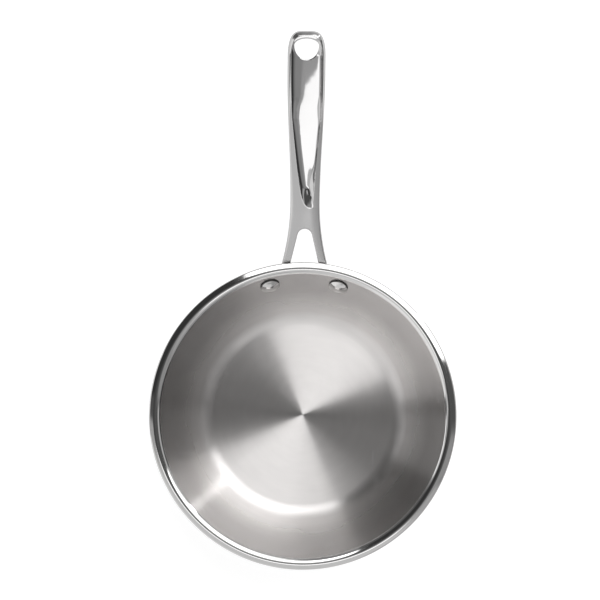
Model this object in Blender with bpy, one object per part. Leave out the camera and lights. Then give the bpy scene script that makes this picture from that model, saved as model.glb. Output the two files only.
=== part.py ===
"""Stainless steel frying pan: drawn body, bonded base, cast forked handle and two rivets.

Lengths are metres and +Z is up. The origin is the centre of the base's resting face, and the handle
points along +Y. Profiles are lists of (radius, height) points turned about Z.
"""

import math

import bmesh
import bpy
from mathutils import Matrix, Vector

# Body, measured on its cooking surface
FLOOR_RADIUS = 0.0735
KNUCKLE_RADIUS = 0.0162
WALL_TOP_RADIUS = 0.1160
WALL_HEIGHT = 0.0472
BODY_THICKNESS = 0.0010

# Pouring rim: an outward bend over the crest, a short drooping lip and a turned-down edge
FLARE_RADIUS = 0.0055
LIP_DROOP = math.radians(18.0)
LIP_WIDTH = 0.0018
EDGE_RADIUS = 0.0016
EDGE_TURN = math.radians(80.0)
SKIRT_LENGTH = 0.0006

# Base: an aluminium disc under the floor, closed in by a dished steel cap
CORE_THICKNESS = 0.0040
CAP_THICKNESS = 0.0006
CAP_OVERHANG = 0.0020
CAP_CORNER_RADIUS = 0.0030

# Handle, along +Y from the outside of the rim
HANDLE_REACH = 0.1870
HANDLE_RISE_ANGLE = math.radians(18.0)
HANDLE_TIP_ANGLE = math.radians(6.0)
RIM_CLEARANCE = 0.0006
GRIP_WIDTH = 0.0308
GRIP_THICKNESS = 0.0098
GRIP_FULL_REACH = 0.1550
WAIST_WIDTH = 0.0240
WAIST_THICKNESS = 0.0076
WAIST_REACH = 0.0490
ROOT_FLARE_RADIUS = 0.1890
LEG_TAPER = 0.12
NOSE_LENGTH = 0.0210
NOSE_EDGE_RADIUS = 0.0035

# Flanks: from the ridge they fall to the outline, steeper towards it
FLANK_WIDTH = 0.00275
FLANK_TOP_SLOPE = 0.70
FLANK_CURL = 0.65

# Scoop in the handle's upper face: it runs from a skewed point near the fork to the tip
SCOOP_POINT_REACH = 0.0443
SCOOP_POINT_OFFSET = 0.0050
SCOOP_SKEW_LENGTH = 0.0070
SCOOP_OPENING_LENGTH = 0.0800
SCOOP_RUNOUT_LENGTH = 0.0350
SCOOP_DEPTH = 0.0043
SCOOP_LAND = 0.0030
SCOOP_TIP_LAND = 0.0042

# Hanging hole: half an ellipse on each side of its widest line
HOLE_HALF_WIDTH = 0.0099
HOLE_FROM_TIP = 0.0116
HOLE_TIP_SIDE = 0.0054
HOLE_PAN_SIDE = 0.0114

# Fork: a round crotch and two straight sides that spread towards the pan
FORK_CROTCH_RADIUS = 0.0060
FORK_CROTCH_REACH = 0.0215
FORK_SPREAD = math.radians(13.5)

# Riveting plate of the handle, wrapped on the outside of the wall
PLATE_THICKNESS = 0.0040
PLATE_END_RADIUS = 0.0088
PLATE_CHAMFER = 0.0010

# Rivets
RIVET_SPACING = 0.0558
RIVET_BELOW_FLARE = 0.0107
SHANK_RADIUS = 0.0030
HEAD_RADIUS = 0.0078
HEAD_SKIRT = 0.0010
HEAD_HEIGHT = 0.0030
TAIL_RADIUS = 0.0052
TAIL_SKIRT = 0.0005
TAIL_HEIGHT = 0.0018

# Powers that shape the handle's curves: 2 is round and more is squarer
UNDERSIDE_SQUARENESS = 2.5
NOSE_ALONG = 2.2
NOSE_ACROSS = 4.2
SCOOP_OPENING_POWER = 0.385
SCOOP_WALL_POWER = 3.0
SCOOP_END_POWER = 2.0

# Clearances
SEAT_GAP = 0.0003
SHANK_CLEARANCE = 0.0003
MERGE_DISTANCE = 0.000001

# Facets
BODY_STEPS = 72
RIVET_STEPS = 28
FLANK_FACETS = 4
UNDERSIDE_FACETS = 14

# Sizes that follow from the ones above
HALF_TURN = math.pi
QUARTER_TURN = math.pi / 2
FLOOR_HEIGHT = CAP_THICKNESS + SEAT_GAP + CORE_THICKNESS + SEAT_GAP + BODY_THICKNESS
BASE_RADIUS = FLOOR_RADIUS + CAP_OVERHANG


def wall_slope():
    """Angle of the wall above the horizontal: the line down from the flare that meets the knuckle."""
    run = WALL_TOP_RADIUS - FLOOR_RADIUS
    rise = WALL_HEIGHT - KNUCKLE_RADIUS
    return math.atan2(rise, run) + math.asin(KNUCKLE_RADIUS / math.hypot(run, rise))


WALL_SLOPE = wall_slope()


def arc(centre, radius, start, end, segments):
    """Points on an arc about a centre, from one angle to another."""
    points = []
    for index in range(segments + 1):
        angle = start + (end - start) * index / segments
        points.append((centre[0] + radius * math.cos(angle), centre[1] + radius * math.sin(angle)))
    return points


def meridian(depth):
    """Profile of the surface that lies a given depth below the cooking surface, axis to rim edge."""
    slope = WALL_SLOPE
    knuckle_centre = (FLOOR_RADIUS, FLOOR_HEIGHT + KNUCKLE_RADIUS)
    flare_centre = (
        WALL_TOP_RADIUS + FLARE_RADIUS * math.sin(slope),
        FLOOR_HEIGHT + WALL_HEIGHT - FLARE_RADIUS * math.cos(slope),
    )
    lip_start = arc(flare_centre, FLARE_RADIUS, QUARTER_TURN - LIP_DROOP, 0.0, 1)[0]
    edge_centre = (
        lip_start[0] + LIP_WIDTH * math.cos(LIP_DROOP) - EDGE_RADIUS * math.sin(LIP_DROOP),
        lip_start[1] - LIP_WIDTH * math.sin(LIP_DROOP) - EDGE_RADIUS * math.cos(LIP_DROOP),
    )
    points = [(0.0, FLOOR_HEIGHT - depth)]
    points += arc(knuckle_centre, KNUCKLE_RADIUS + depth, -QUARTER_TURN, slope - QUARTER_TURN, 6)
    points += arc(flare_centre, FLARE_RADIUS - depth, QUARTER_TURN + slope, QUARTER_TURN - LIP_DROOP, 7)
    edge = arc(edge_centre, EDGE_RADIUS - depth, QUARTER_TURN - LIP_DROOP, QUARTER_TURN - EDGE_TURN, 3)
    points += edge
    points.append(
        (
            edge[-1][0] + SKIRT_LENGTH * math.cos(EDGE_TURN),
            edge[-1][1] - SKIRT_LENGTH * math.sin(EDGE_TURN),
        )
    )
    return points


def rim_radius():
    """Outermost radius of the rim."""
    return meridian(0.0)[-1][0]


def rim_underside():
    """Height of the lowest point of the turned-down edge."""
    return meridian(BODY_THICKNESS)[-1][1] - BODY_THICKNESS / 2


RIM_RADIUS = rim_radius()
RIM_UNDERSIDE = rim_underside()
TIP_Y = RIM_RADIUS + HANDLE_REACH


def steel(name, colour, roughness):
    """A metal material with one colour and roughness."""
    material = bpy.data.materials.new(name)
    material.use_nodes = True
    shader = material.node_tree.nodes["Principled BSDF"]
    shader.inputs["Base Color"].default_value = (*colour, 1.0)
    shader.inputs["Metallic"].default_value = 1.0
    shader.inputs["Roughness"].default_value = roughness
    material.diffuse_color = (*colour, 1.0)
    return material


def add_object(name, bm, material=None):
    """Make an object from a bmesh, smooth but with its real edges kept sharp."""
    bmesh.ops.remove_doubles(bm, verts=bm.verts, dist=MERGE_DISTANCE)
    bmesh.ops.recalc_face_normals(bm, faces=bm.faces)
    mesh = bpy.data.meshes.new(name)
    bm.to_mesh(mesh)
    bm.free()
    mesh.shade_smooth()
    mesh.set_sharp_from_angle(angle=math.radians(35.0))
    if material:
        mesh.materials.append(material)
    item = bpy.data.objects.new(name, mesh)
    bpy.context.scene.collection.objects.link(item)
    return item


def lathe(name, profile, material=None, steps=BODY_STEPS):
    """Turn a profile that starts and ends on the Z axis into a closed solid."""
    bm = bmesh.new()
    verts = [bm.verts.new((radius, 0.0, height)) for radius, height in profile]
    edges = [bm.edges.new(pair) for pair in zip(verts, verts[1:])]
    bmesh.ops.spin(
        bm,
        geom=verts + edges,
        cent=(0.0, 0.0, 0.0),
        axis=(0.0, 0.0, 1.0),
        angle=2 * math.pi,
        steps=steps,
        use_merge=True,
    )
    return add_object(name, bm, material)


def loft(name, rings, material=None):
    """Skin rings of equally many points and cap both ends."""
    bm = bmesh.new()
    skins = [[bm.verts.new(point) for point in ring] for ring in rings]
    for first, second in zip(skins, skins[1:]):
        for index in range(len(first)):
            after = (index + 1) % len(first)
            bm.faces.new((first[index], first[after], second[after], second[index]))
    bm.faces.new(skins[0])
    bm.faces.new(skins[-1])
    return add_object(name, bm, material)


def prism(name, outline, bottom, top):
    """Extrude a plan outline of (x, y) points between two heights."""
    low = [(x, y, bottom) for x, y in outline]
    high = [(x, y, top) for x, y in outline]
    return loft(name, [low, high])


def as_tool(item):
    """Mark an object as a cutter or guide that isn't part of the pan."""
    item.hide_render = True
    item.display_type = "WIRE"
    return item


def combine(item, tool, operation):
    """Add an exact Boolean modifier."""
    modifier = item.modifiers.new(tool.name, "BOOLEAN")
    modifier.operation = operation
    modifier.object = tool
    modifier.solver = "EXACT"


def ease(value):
    """Smooth step from 0 to 1 that starts and ends level."""
    clamped = min(max(value, 0.0), 1.0)
    return (1.0 - math.cos(math.pi * clamped)) / 2


# Pan body


def make_body(material, rivet_holes):
    """Drawn body: one wall of even thickness, rounded at the rim's edge, with its rivet holes."""
    inside = meridian(0.0)
    outside = meridian(BODY_THICKNESS)
    middle = tuple((a + b) / 2 for a, b in zip(inside[-1], outside[-1]))
    facing = QUARTER_TURN - EDGE_TURN
    rounding = arc(middle, BODY_THICKNESS / 2, facing, facing - HALF_TURN, 4)[1:-1]
    body = lathe("pan_body", inside + rounding + outside[::-1], material)
    combine(body, rivet_holes, "DIFFERENCE")
    return body


# Base


def make_base_core(material):
    """Aluminium disc that fills the cap and reaches up to the body's floor."""
    radius = BASE_RADIUS - CAP_THICKNESS - SEAT_GAP
    bottom = CAP_THICKNESS + SEAT_GAP
    top = bottom + CORE_THICKNESS
    corner = CAP_CORNER_RADIUS - CAP_THICKNESS - SEAT_GAP
    profile = [(0.0, top), (radius, top)]
    profile += arc((radius - corner, bottom + corner), corner, 0.0, -QUARTER_TURN, 4)
    profile.append((0.0, bottom))
    return lathe("base_core", profile, material)


def make_base_cap(material):
    """Dished cap round the disc; its flat underside is what the pan stands on."""
    inner_radius = BASE_RADIUS - CAP_THICKNESS
    inner_corner = CAP_CORNER_RADIUS - CAP_THICKNESS
    top = FLOOR_HEIGHT - BODY_THICKNESS - SEAT_GAP
    inner_centre = (inner_radius - inner_corner, CAP_CORNER_RADIUS)
    outer_centre = (BASE_RADIUS - CAP_CORNER_RADIUS, CAP_CORNER_RADIUS)
    profile = [(0.0, CAP_THICKNESS)]
    profile += arc(inner_centre, inner_corner, -QUARTER_TURN, 0.0, 4)
    profile += [(inner_radius, top), (BASE_RADIUS, top)]
    profile += arc(outer_centre, CAP_CORNER_RADIUS, 0.0, -QUARTER_TURN, 4)
    profile.append((0.0, 0.0))
    return lathe("base_cap", profile, material)


# Rivets


def wall_point(below_flare, depth):
    """Radius and height on the wall, a distance down its slope and a depth behind its inside."""
    radius = WALL_TOP_RADIUS - below_flare * math.cos(WALL_SLOPE) + depth * math.sin(WALL_SLOPE)
    height = FLOOR_HEIGHT + WALL_HEIGHT - below_flare * math.sin(WALL_SLOPE) - depth * math.cos(WALL_SLOPE)
    return radius, height


def rivet_azimuth():
    """Angle of the right rivet from the handle's centre line."""
    return math.asin(RIVET_SPACING / 2 / wall_point(RIVET_BELOW_FLARE, 0.0)[0])


def rivet_frame(side):
    """Matrix with its origin on the cooking surface at a rivet and its +Z into the bowl."""
    azimuth = side * rivet_azimuth()
    radius, height = wall_point(RIVET_BELOW_FLARE, 0.0)
    radial = Vector((math.sin(azimuth), math.cos(azimuth), 0.0))
    tangent = Vector((math.cos(azimuth), -math.sin(azimuth), 0.0))
    inward = -math.sin(WALL_SLOPE) * radial + math.cos(WALL_SLOPE) * Vector((0.0, 0.0, 1.0))
    frame = Matrix((tangent, inward.cross(tangent), inward)).transposed().to_4x4()
    frame.translation = radius * radial + Vector((0.0, 0.0, height))
    return frame


def head_seat():
    """Height of a head's flat underside over the wall at its centre, clear of the wall's hollow curve."""
    radius = wall_point(RIVET_BELOW_FLARE, 0.0)[0]
    hollow = HEAD_RADIUS**2 * math.sin(WALL_SLOPE) / (2 * radius)
    facet = radius * (1.0 - math.cos(math.pi / BODY_STEPS))
    return SEAT_GAP + hollow + facet


def dome(radius, height, base, direction):
    """Spherical cap from its rim to its top on the axis, bulging up (1) or down (-1) from a base."""
    sphere = (radius**2 + height**2) / (2 * height)
    half_angle = math.asin(radius / sphere)
    points = []
    for index in range(5):
        angle = half_angle * (1.0 - index / 4)
        rise = sphere * math.cos(angle) - (sphere - height)
        points.append((sphere * math.sin(angle), base + direction * rise))
    return points


def make_rivet(name, side, material):
    """Solid rivet: domed head in the bowl, shank through wall and plate, low upset head outside."""
    seat = head_seat()
    tail = -(BODY_THICKNESS + SEAT_GAP + PLATE_THICKNESS + SEAT_GAP)
    profile = dome(HEAD_RADIUS, HEAD_HEIGHT - HEAD_SKIRT, seat + HEAD_SKIRT, 1)[::-1]
    profile += [(HEAD_RADIUS, seat), (SHANK_RADIUS, seat), (SHANK_RADIUS, tail), (TAIL_RADIUS, tail)]
    profile += dome(TAIL_RADIUS, TAIL_HEIGHT - TAIL_SKIRT, tail - TAIL_SKIRT, -1)
    rivet = lathe(name, profile, material, RIVET_STEPS)
    rivet.matrix_world = rivet_frame(side)
    return rivet


def make_rivet_holes():
    """Cutter for both rivet holes, through the wall and the handle's plate."""
    reach = 2 * (BODY_THICKNESS + PLATE_THICKNESS)
    radius = SHANK_RADIUS + SHANK_CLEARANCE
    bm = bmesh.new()
    for side in (-1, 1):
        bmesh.ops.create_cone(
            bm,
            cap_ends=True,
            segments=RIVET_STEPS,
            radius1=radius,
            radius2=radius,
            depth=2 * reach,
            matrix=rivet_frame(side),
        )
    return as_tool(add_object("rivet_holes", bm))


# Handle


def top_height(y):
    """Height of the handle's upper face: its slope falls evenly from the rim to the tip."""
    start = math.tan(HANDLE_RISE_ANGLE)
    end = math.tan(HANDLE_TIP_ANGLE)
    along = y - RIM_RADIUS
    foot = RIM_UNDERSIDE - RIM_CLEARANCE
    return foot + start * along + (end - start) * along**2 / (2 * HANDLE_REACH)


def grip_share(y):
    """0 at the waist, 1 where the grip has its full section."""
    return ease((y - RIM_RADIUS - WAIST_REACH) / (GRIP_FULL_REACH - WAIST_REACH))


def nose_share(y, tip, length, across):
    """Rounding over the last stretch before a tip, from 1 down to 0, blunter with a higher power."""
    share = min(max((y - (tip - length)) / length, 0.0), 1.0)
    return (1.0 - share**NOSE_ALONG) ** (1 / across)


def blank_half_width(y):
    """Half the handle's width before its nose is rounded: a waist, a fuller grip and a flared root."""
    width = WAIST_WIDTH + (GRIP_WIDTH - WAIST_WIDTH) * grip_share(y)
    before_waist = max(RIM_RADIUS + WAIST_REACH - y, 0.0)
    return width / 2 + before_waist**2 / (2 * ROOT_FLARE_RADIUS)


def half_width(y):
    """Half the handle's width with its blunt nose."""
    return blank_half_width(y) * nose_share(y, TIP_Y, NOSE_LENGTH, NOSE_ACROSS)


def thickness(y):
    """Depth of the handle's section before the scoop is cut; the legs thin out under the rim."""
    under_rim = max(RIM_RADIUS - y, 0.0)
    return WAIST_THICKNESS + (GRIP_THICKNESS - WAIST_THICKNESS) * grip_share(y) - LEG_TAPER * under_rim


def flank_drop(inset):
    """Fall of the upper face from the ridge to a place inside the outline: steeper towards the outline."""
    left = 1.0 - inset / FLANK_WIDTH
    return FLANK_WIDTH * (FLANK_TOP_SLOPE * left + FLANK_CURL * left**3)


def section(y):
    """Ring of the handle at y: a level face, flanks that curl down to the outline, a rounded underside."""
    half = half_width(y)
    to_tip = TIP_Y - y
    nose = nose_share(y, TIP_Y - FLANK_WIDTH, NOSE_LENGTH - FLANK_WIDTH, NOSE_ACROSS)
    ridge = max((blank_half_width(y) - FLANK_WIDTH) * nose, half / 10)
    top = top_height(y)
    flank = []
    for index in range(FLANK_FACETS + 1):
        share = index / FLANK_FACETS
        flank.append((half + (ridge - half) * share, top - flank_drop(share * min(FLANK_WIDTH, to_tip))))
    upper = flank + [(0.0, flank[-1][1])] + [(-x, z) for x, z in reversed(flank)]
    power = UNDERSIDE_SQUARENESS
    past_edge = 1.0 - min(to_tip / blank_half_width(y), 1.0)
    depth = (thickness(y) - flank_drop(0.0)) * (1.0 - past_edge**power) ** (1 / power)
    under = []
    for index in range(1, UNDERSIDE_FACETS):
        angle = math.pi * index / UNDERSIDE_FACETS
        across = math.copysign(abs(math.cos(angle)) ** (2 / power), math.cos(angle))
        under.append((-half * across, flank[0][1] - depth * math.sin(angle) ** (2 / power)))
    return [(x, y, z) for x, z in upper + under]


def root_start():
    """Where the handle's blank starts: inside the bowl, a section's depth behind the plate's lower edge."""
    return wall_point(RIVET_BELOW_FLARE + PLATE_END_RADIUS, 0.0)[0] - WAIST_THICKNESS


def make_blank():
    """Handle before it is cut: rings from inside the wall's line out to the rounded tip."""
    start = root_start()
    nose = TIP_Y - NOSE_LENGTH
    edge = TIP_Y - NOSE_EDGE_RADIUS
    stations = [start + (nose - start) * index / 28 for index in range(28)]
    stations += [nose + (edge - nose) * index / 7 for index in range(7)]
    stations += [edge + NOSE_EDGE_RADIUS * math.sin(math.radians(turn)) for turn in range(0, 86, 17)]
    return [section(y) for y in stations]


def scoop_end_share(y, across):
    """Rounding of the scoop's end at the handle's tip, from 1 down to 0."""
    return nose_share(y, TIP_Y - SCOOP_TIP_LAND, NOSE_LENGTH - SCOOP_TIP_LAND, across)


def scoop_half_width(y):
    """Half width of the scoop: a rounded point that opens out to the grip's lands."""
    opening = min(max((y - RIM_RADIUS - SCOOP_POINT_REACH) / SCOOP_OPENING_LENGTH, 0.0), 1.0)
    body = blank_half_width(y) - SCOOP_LAND
    return body * opening**SCOOP_OPENING_POWER * scoop_end_share(y, NOSE_ACROSS)


def scoop_depth(y):
    """Depth of the scoop's middle: a quick run-out at the point and a round end at the tip."""
    run = min((y - RIM_RADIUS - SCOOP_POINT_REACH) / SCOOP_RUNOUT_LENGTH, 1.0)
    return SCOOP_DEPTH * (1.0 - (1.0 - run) ** 2) * scoop_end_share(y, SCOOP_END_POWER)


def scoop_centre(y):
    """Sideways place of the scoop, skewed only near its point."""
    past = y - RIM_RADIUS - SCOOP_POINT_REACH
    return SCOOP_POINT_OFFSET / (1.0 + past / SCOOP_SKEW_LENGTH)


def make_scoop_cutter():
    """Cutter whose underside is the scoop: a level floor whose sides rise with a power of the width."""
    start = RIM_RADIUS + SCOOP_POINT_REACH
    end = TIP_Y - SCOOP_TIP_LAND
    stations = [start + (end - start) * (index / 31) ** 2 for index in range(1, 30)]
    stations += [end - (end - stations[-1]) * share for share in (0.6, 0.3, 0.1, 0.02)]
    side_reach = 1.2
    rings = []
    for y in stations:
        ring = []
        for index in range(13):
            across = side_reach * (index / 6 - 1.0)
            drop = scoop_depth(y) * (1.0 - abs(across) ** SCOOP_WALL_POWER)
            x = scoop_centre(y) + scoop_half_width(y) * across
            ring.append((x, y, top_height(y) - drop))
        ring.append((ring[-1][0], y, top_height(y) + GRIP_THICKNESS))
        ring.append((ring[0][0], y, top_height(y) + GRIP_THICKNESS))
        rings.append(ring)
    return as_tool(loft("scoop_cutter", rings))


def make_hole_cutter():
    """Cutter for the hanging hole."""
    centre_y = TIP_Y - HOLE_FROM_TIP
    outline = []
    for index in range(32):
        angle = 2 * math.pi * index / 32
        length = HOLE_TIP_SIDE if math.sin(angle) > 0 else HOLE_PAN_SIDE
        outline.append((HOLE_HALF_WIDTH * math.cos(angle), centre_y + length * math.sin(angle)))
    middle = top_height(centre_y)
    return as_tool(prism("hole_cutter", outline, middle - 3 * GRIP_THICKNESS, middle + GRIP_THICKNESS))


def make_fork_cutter():
    """Cutter for the gap between the legs, from the crotch in to the pan's wall."""
    centre_y = RIM_RADIUS + FORK_CROTCH_REACH
    crotch = arc((0.0, centre_y), FORK_CROTCH_RADIUS, FORK_SPREAD, HALF_TURN - FORK_SPREAD, 14)
    inner_y = root_start() - WAIST_THICKNESS
    run = crotch[0][1] - inner_y
    foot = crotch[0][0] + run * math.tan(FORK_SPREAD)
    outline = crotch + [(-foot, inner_y), (foot, inner_y)]
    middle = top_height(centre_y)
    return as_tool(prism("fork_cutter", outline, middle - 5 * WAIST_THICKNESS, middle + WAIST_THICKNESS))


def make_plate():
    """Riveting plate: a stadium wrapped on the wall, its ends concentric with the rivets."""
    radius = wall_point(RIVET_BELOW_FLARE, BODY_THICKNESS)[0]
    rivet_arc = rivet_azimuth() * radius
    turns = [math.radians(angle) for angle in range(0, 81, 16)]
    right = [(rivet_arc + PLATE_END_RADIUS * math.sin(turn), math.cos(turn)) for turn in turns]
    middle = [(rivet_arc * (index / 5 - 1.0), 1.0) for index in range(1, 10)]
    left = [(-along, share) for along, share in reversed(right)]
    face = BODY_THICKNESS + SEAT_GAP
    outside = face + PLATE_THICKNESS
    rings = []
    for along, share in left + middle + right:
        half = PLATE_END_RADIUS * share
        chamfer = min(PLATE_CHAMFER, half / 2)
        corners = [
            (-half, 0.0),
            (-half, outside - chamfer),
            (-half + chamfer, outside),
            (half - chamfer, outside),
            (half, outside - chamfer),
            (half, 0.0),
        ]
        azimuth = along / radius
        ring = []
        for down, depth in corners:
            at_radius, height = wall_point(RIVET_BELOW_FLARE + down, depth)
            ring.append((at_radius * math.sin(azimuth), at_radius * math.cos(azimuth), height))
        rings.append(ring)
    return as_tool(loft("plate_guide", rings))


def make_body_clearance():
    """Everything above the body's outside, with the seat gap added: it fits the casting to the pan."""
    outside = meridian(BODY_THICKNESS + SEAT_GAP)
    low = outside[-1][1] - BODY_THICKNESS
    rim = RIM_RADIUS + SEAT_GAP
    top = FLOOR_HEIGHT + WALL_HEIGHT + 2 * FLARE_RADIUS
    return as_tool(lathe("body_clearance", outside + [(outside[-1][0], low), (rim, low), (rim, top), (0.0, top)]))


def make_handle(material, rivet_holes):
    """Cast handle: blank less scoop, hole and fork, joined to its plate and fitted to the wall."""
    handle = loft("handle", make_blank(), material)
    for cutter in (make_scoop_cutter(), make_hole_cutter(), make_fork_cutter()):
        combine(handle, cutter, "DIFFERENCE")
    combine(handle, make_plate(), "UNION")
    combine(handle, make_body_clearance(), "DIFFERENCE")
    combine(handle, rivet_holes, "DIFFERENCE")
    return handle


def main():
    """Clear the scene and build the pan."""
    for item in list(bpy.data.objects):
        bpy.data.objects.remove(item, do_unlink=True)
    brushed = steel("brushed_steel", (0.66, 0.65, 0.64), 0.30)
    polished = steel("polished_steel", (0.72, 0.71, 0.71), 0.10)
    rivet_steel = steel("rivet_steel", (0.70, 0.69, 0.68), 0.16)
    cap_steel = steel("cap_steel", (0.62, 0.61, 0.60), 0.28)
    aluminium = steel("aluminium", (0.80, 0.81, 0.82), 0.40)
    rivet_holes = make_rivet_holes()
    make_body(brushed, rivet_holes)
    make_base_core(aluminium)
    make_base_cap(cap_steel)
    make_handle(polished, rivet_holes)
    make_rivet("rivet_left", -1, rivet_steel)
    make_rivet("rivet_right", 1, rivet_steel)


main()
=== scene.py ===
"""Frying pan: the fine surfaces and finishes of its six pieces, a studio and a camera.

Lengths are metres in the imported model's frame: +Z is up, the base rests on Z 0 with its centre at the
origin, and the handle points along +Y. A profile is an array of (radius, height) points turned about Z.
"""

import logging
import math
from dataclasses import dataclass
from enum import Enum

import bmesh
import bpy
import numpy as np
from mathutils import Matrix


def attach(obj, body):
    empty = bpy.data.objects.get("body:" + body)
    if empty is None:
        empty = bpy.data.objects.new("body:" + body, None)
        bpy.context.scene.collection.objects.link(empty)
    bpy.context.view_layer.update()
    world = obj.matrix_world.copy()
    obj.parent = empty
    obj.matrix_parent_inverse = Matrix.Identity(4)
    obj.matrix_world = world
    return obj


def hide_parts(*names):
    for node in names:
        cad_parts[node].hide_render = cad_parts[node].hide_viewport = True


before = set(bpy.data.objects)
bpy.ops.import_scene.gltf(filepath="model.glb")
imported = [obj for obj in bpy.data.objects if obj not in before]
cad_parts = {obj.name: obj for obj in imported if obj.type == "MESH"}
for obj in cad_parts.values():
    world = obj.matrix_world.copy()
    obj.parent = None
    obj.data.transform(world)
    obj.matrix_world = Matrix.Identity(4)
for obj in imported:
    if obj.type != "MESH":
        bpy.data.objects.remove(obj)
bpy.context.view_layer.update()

LOG = logging.getLogger("frying_pan")
QUARTER_TURN = math.pi / 2
HALF_TURN = math.pi
FULL_TURN = 2 * math.pi
MERGE_DISTANCE = 2e-6
SMALLEST = 1e-5
HALVINGS = 40


class Zone(Enum):
    """Finish of a face: its place in a piece's list of materials."""

    MAIN = 0
    TRIM = 1


# Curves and grids


def between(start: np.ndarray, end: np.ndarray, share: np.ndarray) -> np.ndarray:
    """Places or values at a share of the way from start to end."""
    return start + share * (end - start)


def share_past(value: np.ndarray, start: float, length: float) -> np.ndarray:
    """Share of a length that a value is past its start, held between 0 and 1."""
    return np.clip((value - start) / length, 0.0, 1.0)


def smooth_step(value: np.ndarray, start: float, length: float) -> np.ndarray:
    """0 up to a start and 1 from a length past it, along 3 x^2 - 2 x^3 in between."""
    share = share_past(value, start, length)
    return share**2 * (3.0 - 2.0 * share)


def half_wave(value: np.ndarray, start: float, length: float) -> np.ndarray:
    """0 up to a start and 1 from a length past it, along half a cosine wave in between."""
    return (1.0 - np.cos(HALF_TURN * share_past(value, start, length))) / 2


def soft_min(first: np.ndarray, second: np.ndarray, blend: float | np.ndarray) -> np.ndarray:
    """Lower of two heights, less blend / 4 (1 - difference / blend)^2 where they are closer than blend."""
    near = np.maximum(blend - np.abs(first - second), 0.0) / blend
    return np.minimum(first, second) - near**2 * blend / 4


def spread(count: int, power: float) -> np.ndarray:
    """Places from 0 to 1 that lie closer together near both ends.

    x^p / (x^p + (1 - x)^p) of evenly spaced x; a power of 1 leaves them even.

    Args:
        count: number of gaps between the places.
        power: how strongly they crowd at the ends.

    Returns:
        count + 1 increasing numbers.
    """
    even = np.linspace(0.0, 1.0, count + 1)
    rising = even**power
    return rising / (rising + (1.0 - even) ** power)


def direction(angle: float) -> np.ndarray:
    """Unit vector at an angle in a plane."""
    return np.array([math.cos(angle), math.sin(angle)])


def arc(centre: tuple, radius: float | tuple, start: float, end: float, count: int) -> np.ndarray:
    """Points on an arc: the centre plus the radius times (cos, sin) of evenly spaced angles.

    Args:
        centre: the arc's centre in its plane.
        radius: its radius, or an ellipse's two.
        start: first angle in radians.
        end: last angle in radians.
        count: number of segments.

    Returns:
        Array of count + 1 points in the plane.
    """
    angle = np.linspace(start, end, count + 1)
    return np.asarray(centre) + radius * np.column_stack((np.cos(angle), np.sin(angle)))


def turned(profile: np.ndarray, steps: int) -> np.ndarray:
    """Grid of a profile turned about Z: x and y are the radius times sine and cosine of the turn.

    Args:
        profile: (radius, height) points.
        steps: number of profiles round the axis.

    Returns:
        Array of steps by points by 3, open between the last profile and the first.
    """
    turn = FULL_TURN * np.arange(steps) / steps
    x = np.outer(np.sin(turn), profile[:, 0])
    y = np.outer(np.cos(turn), profile[:, 0])
    return np.stack((x, y, np.broadcast_to(profile[:, 1], x.shape)), axis=-1)


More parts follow.
